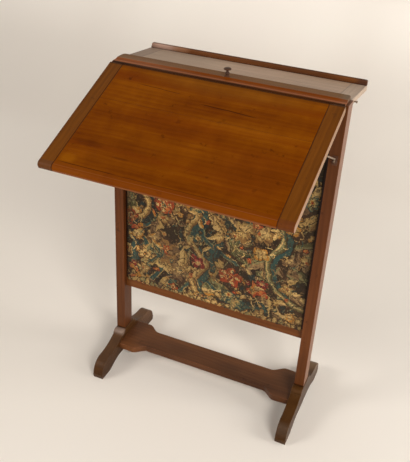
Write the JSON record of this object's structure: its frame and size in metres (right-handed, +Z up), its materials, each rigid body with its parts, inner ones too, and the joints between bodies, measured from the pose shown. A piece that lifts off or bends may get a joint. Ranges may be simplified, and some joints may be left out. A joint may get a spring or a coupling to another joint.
{
  "type": "fire screen desk",
  "caption": "Low-stretchered fire screen on sledge feet with a lifting needlework panel, a hinged writing slope on iron stays and a narrow galleried shelf.",
  "frame": {"origin": "on the floor, under the middle of the open desk as seen from above", "axes": "+X to the right as seen from the writing side, +Y towards the gallery at the back, +Z up"},
  "size_m": [0.6098, 0.5556, 0.9585],
  "materials": {
    "frame_wood": "waxed, dark reddish brown",
    "slope_wood": "waxed, worn, warm brown",
    "shelf_wood": "waxed, worn, greyish brown",
    "iron": "blackened, dull",
    "brass": "aged, dull",
    "needlework": "wool needlework, worn",
    "lining": "plain linen"
  },
  "bodies": {
    "frame": {"left_foot": "frame_wood", "right_foot": "frame_wood", "stretcher": "frame_wood", "left_post": "frame_wood", "right_post": "frame_wood", "front_top_rail": "frame_wood", "back_top_rail": "frame_wood", "shelf_bearer": "frame_wood", "shelf_brackets": "frame_wood", "shelf_board": "shelf_wood", "shelf_left_cleat": "shelf_wood", "shelf_right_cleat": "shelf_wood", "shelf_gallery": "shelf_wood", "shelf_pins": "iron", "hinge_fixed_leaves": "brass", "hinge_pins": "iron", "hinge_rail_screws": "iron", "stay_plates": "iron", "stay_pins": "iron", "stay_plate_screws": "iron"},
    "slope": {"writing_board": "slope_wood", "writing_left_cleat": "slope_wood", "writing_right_cleat": "slope_wood", "hinge_slope_leaves": "brass", "hinge_slope_screws": "iron"},
    "left_stay": {"left_stay": "iron"},
    "right_stay": {"right_stay": "iron"},
    "screen": {"screen_left_stile": "frame_wood", "screen_right_stile": "frame_wood", "screen_bottom_rail": "frame_wood", "screen_top_rail": "frame_wood", "cap_rail": "frame_wood", "lift_knob": "frame_wood", "needlework": "needlework", "screen_lining": "lining"}
  },
  "joints": [
    {"name": "slope_hinge", "type": "hinge", "parent": "frame", "child": "slope", "pos_m": [0, 0.05496, 0.9166], "axis": [1, 0, 0], "range_deg": [0, 61]},
    {"name": "left_stay_pivot", "type": "hinge", "parent": "frame", "child": "left_stay", "pos_m": [-0.288, 0.05266, 0.794], "axis": [1, 0, 0], "range_deg": [0, 116.5]},
    {"name": "right_stay_pivot", "type": "hinge", "parent": "frame", "child": "right_stay", "pos_m": [0.288, 0.05266, 0.794], "axis": [1, 0, 0], "range_deg": [0, 116.5]},
    {"name": "screen_lift", "type": "slide", "parent": "frame", "child": "screen", "axis": [0, 0, 1], "range_m": [0, 0.4]}
  ],
  "couplings": [
    {"joint": "left_stay_pivot", "follows": "slope_hinge", "ratio": 1.9016},
    {"joint": "right_stay_pivot", "follows": "slope_hinge", "ratio": 1.9016}
  ]
}
